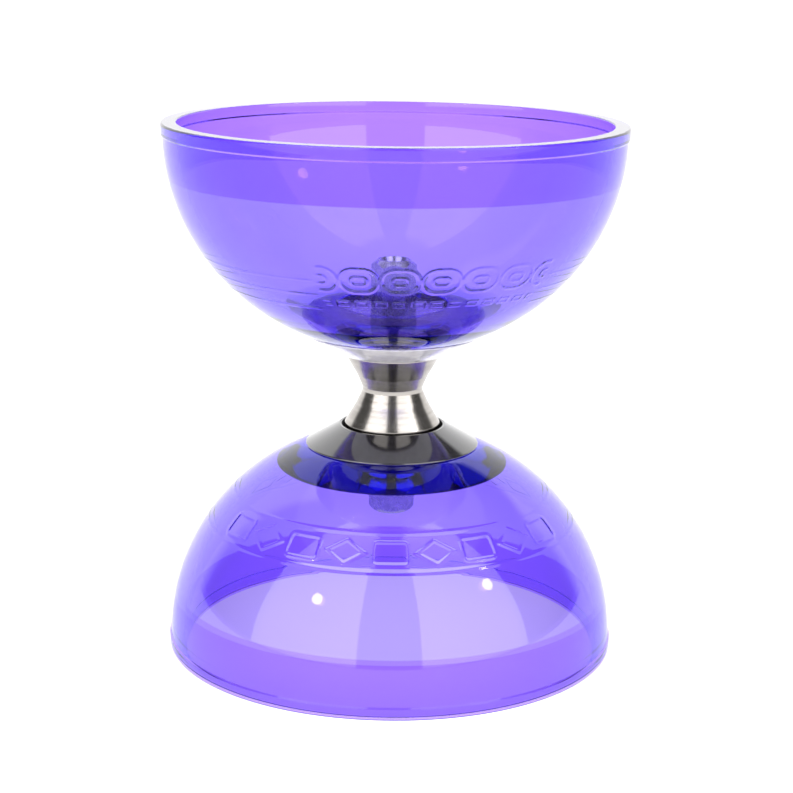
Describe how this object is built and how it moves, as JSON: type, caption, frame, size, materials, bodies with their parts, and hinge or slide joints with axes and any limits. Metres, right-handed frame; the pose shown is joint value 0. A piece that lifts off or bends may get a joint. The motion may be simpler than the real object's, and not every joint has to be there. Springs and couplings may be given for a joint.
{
  "type": "diabolo",
  "caption": "Bearing diabolo with two clear tinted bowls, black cone hubs and a waisted metal hub that turns freely on a bolted axle.",
  "frame": {"origin": "middle of the waist, on the spin axis, which is also the centre of the bounding box", "axes": "+Z along the spin axis towards the upper cup; the part is turned about Z, so +X and +Y are free"},
  "size_m": [0.116, 0.116, 0.135],
  "materials": {
    "clear_cup": "clear violet tinted urethane, polished",
    "black_cone": "glossy black",
    "bright_metal": "turned and polished",
    "zinc_steel": "bright zinc plated",
    "bearing_steel": "ground",
    "shield_steel": "pressed sheet",
    "cage_brass": "pressed",
    "cage_plastic": "moulded"
  },
  "bodies": {
    "rotor": {"upper_cup": "clear_cup", "lower_cup": "clear_cup", "upper_cone_hub": "black_cone", "lower_cone_hub": "black_cone", "axle_rod": "zinc_steel", "upper_inner_ring": "bearing_steel", "lower_inner_ring": "bearing_steel", "upper_shim": "zinc_steel", "lower_shim": "zinc_steel", "upper_cup_washer": "zinc_steel", "lower_cup_washer": "zinc_steel", "upper_axle_nut": "zinc_steel", "lower_axle_nut": "zinc_steel"},
    "metal_hub": {"hub_sleeve": "bright_metal", "clutch_shell": "bearing_steel", "clutch_cage": "cage_plastic", "clutch_rollers": "bearing_steel", "upper_outer_ring": "bearing_steel", "lower_outer_ring": "bearing_steel", "upper_shields": "shield_steel", "lower_shields": "shield_steel"},
    "upper_ball_set": {"upper_balls": "bearing_steel", "upper_ball_cage": "cage_brass"},
    "lower_ball_set": {"lower_balls": "bearing_steel", "lower_ball_cage": "cage_brass"}
  },
  "joints": [
    {"name": "hub_spin", "type": "hinge", "parent": "rotor", "child": "metal_hub", "pos_m": [0, 0, 0], "axis": [0, 0, 1], "continuous": true},
    {"name": "upper_ball_travel", "type": "hinge", "parent": "rotor", "child": "upper_ball_set", "pos_m": [0, 0, 0.0086], "axis": [0, 0, 1], "continuous": true},
    {"name": "lower_ball_travel", "type": "hinge", "parent": "rotor", "child": "lower_ball_set", "pos_m": [0, 0, -0.0086], "axis": [0, 0, 1], "continuous": true}
  ],
  "couplings": [
    {"joint": "upper_ball_travel", "follows": "hub_spin", "ratio": 0.6158},
    {"joint": "lower_ball_travel", "follows": "hub_spin", "ratio": 0.6158}
  ]
}
